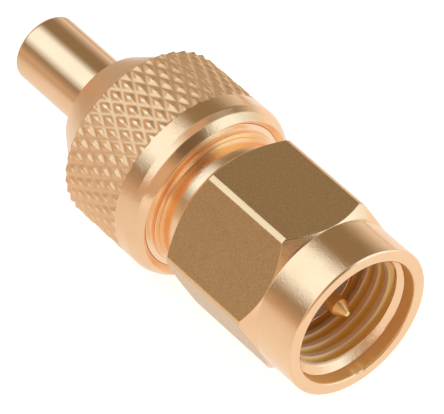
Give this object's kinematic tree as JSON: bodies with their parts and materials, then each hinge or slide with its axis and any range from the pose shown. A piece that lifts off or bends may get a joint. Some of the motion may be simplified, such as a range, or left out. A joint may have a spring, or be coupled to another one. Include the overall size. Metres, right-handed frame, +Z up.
{
  "type": "coaxial cable plug",
  "caption": "Straight gold-plated coaxial cable plug: hexagonal coupling nut that spins, centre pin, knurled clamp nut and thin cable ferrule.",
  "frame": {"origin": "on the connector's axis in the mating reference plane, the front rim of the outer conductor's sleeve, where the centre pin's shoulder is", "axes": "+X along the connector's axis towards the mating mouth, the cable leaves towards -X; +Z up, square to a wrench flat of the coupling nut, so a flat faces down"},
  "size_m": [0.0236, 0.0094, 0.0094],
  "materials": {
    "gold_nut": "gold plate over milled brass, satin flats, bright lands",
    "gold_clamp": "gold plate over rolled diamond knurl, worn tops",
    "gold_body": "bright gold plate over turned brass",
    "gold_ferrule": "polished gold plate",
    "gold_contact": "thick bright gold plate",
    "spring_bronze": "spring bronze, plain",
    "ptfe": "white PTFE",
    "silicone": "silicone rubber"
  },
  "bodies": {
    "plug": {"plug_body": "gold_body", "retaining_ring": "spring_bronze", "sealing_gasket": "silicone", "front_insulator": "ptfe", "centre_contact": "gold_contact", "rear_insulator": "ptfe", "clamp_nut": "gold_clamp", "clamp_washer": "gold_body", "cable_ferrule": "gold_ferrule"},
    "nut": {"coupling_nut": "gold_nut"}
  },
  "joints": [
    {"name": "nut_spin", "type": "hinge", "parent": "plug", "child": "nut", "pos_m": [0, 0, 0], "axis": [1, 0, 0], "continuous": true}
  ]
}
